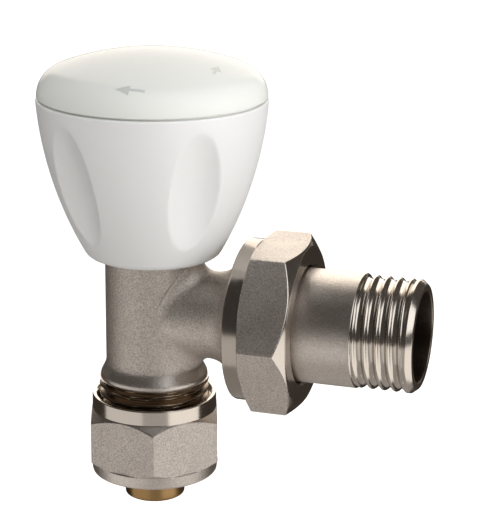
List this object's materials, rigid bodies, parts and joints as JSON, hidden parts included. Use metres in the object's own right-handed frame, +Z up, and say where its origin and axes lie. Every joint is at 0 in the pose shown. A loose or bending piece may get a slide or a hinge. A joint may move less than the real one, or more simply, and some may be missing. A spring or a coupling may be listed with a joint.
{
  "type": "angle radiator valve",
  "caption": "Nickel-plated angle radiator valve: white fluted hand wheel on a rising spindle, union nut and threaded tail for the radiator, compression nut with a brass insert for the pipe.",
  "frame": {"origin": "lower end of the pipe insert, on the spindle axis", "axes": "+Z up along the spindle, +X along the radiator tail, away from the body"},
  "size_m": [0.0736, 0.043, 0.0871],
  "materials": {
    "nickel_plated_brass": "satin nickel plate on blasted brass",
    "raw_brass": "turned",
    "steel": "zinc plated",
    "epdm_rubber": "matt",
    "nylon": "matt",
    "white_abs": "satin moulded",
    "gloss_white_abs": "semi-gloss moulded"
  },
  "bodies": {
    "radiator_tail": {"tailpiece": "nickel_plated_brass", "tail_o_ring": "epdm_rubber"},
    "union_ring": {"union_nut": "nickel_plated_brass"},
    "body_assembly": {"valve_body": "nickel_plated_brass", "bonnet": "raw_brass", "bonnet_o_ring": "epdm_rubber"},
    "disc_assembly": {"disc_holder": "raw_brass", "holder_snap_ring": "steel", "seat_washer": "epdm_rubber", "washer_screw": "steel"},
    "handwheel_assembly": {"spindle": "raw_brass", "spindle_o_rings": "epdm_rubber", "handwheel": "white_abs", "handwheel_cap": "gloss_white_abs", "handwheel_screw": "steel", "screw_washer": "steel"},
    "insert_assembly": {"pipe_insert": "raw_brass", "insert_o_rings": "epdm_rubber", "insert_seat_o_ring": "epdm_rubber", "insulating_washer": "nylon", "split_ring": "raw_brass"},
    "pipe_nut": {"compression_nut": "nickel_plated_brass"}
  },
  "joints": [
    {"name": "union_nut_turn", "type": "hinge", "parent": "radiator_tail", "child": "union_ring", "pos_m": [0.0242, 0, 0.03745], "axis": [1, 0, 0], "range_deg": [0, 1170]},
    {"name": "union_draw", "type": "slide", "parent": "radiator_tail", "child": "body_assembly", "axis": [-1, 0, 0], "range_m": [0, 0.00589]},
    {"name": "spindle_lift", "type": "slide", "parent": "body_assembly", "child": "disc_assembly", "axis": [0, 0, 1], "range_m": [0, 0.0041]},
    {"name": "handwheel_turn", "type": "hinge", "parent": "disc_assembly", "child": "handwheel_assembly", "pos_m": [0, 0, 0.06325], "axis": [0, 0, 1], "range_deg": [0, 720]},
    {"name": "compression_draw", "type": "slide", "parent": "body_assembly", "child": "insert_assembly", "axis": [0, 0, -1], "range_m": [0, 0.0078]},
    {"name": "compression_nut_turn", "type": "hinge", "parent": "insert_assembly", "child": "pipe_nut", "pos_m": [0, 0, 0.01325], "axis": [0, 0, -1], "range_deg": [0, 1530]}
  ],
  "couplings": [
    {"joint": "union_nut_turn", "follows": "union_draw", "rad_per_m": 3463.7},
    {"joint": "spindle_lift", "follows": "handwheel_turn", "m_per_rad": 0.00031831},
    {"joint": "compression_draw", "follows": "compression_nut_turn", "m_per_rad": 0.00028871}
  ]
}
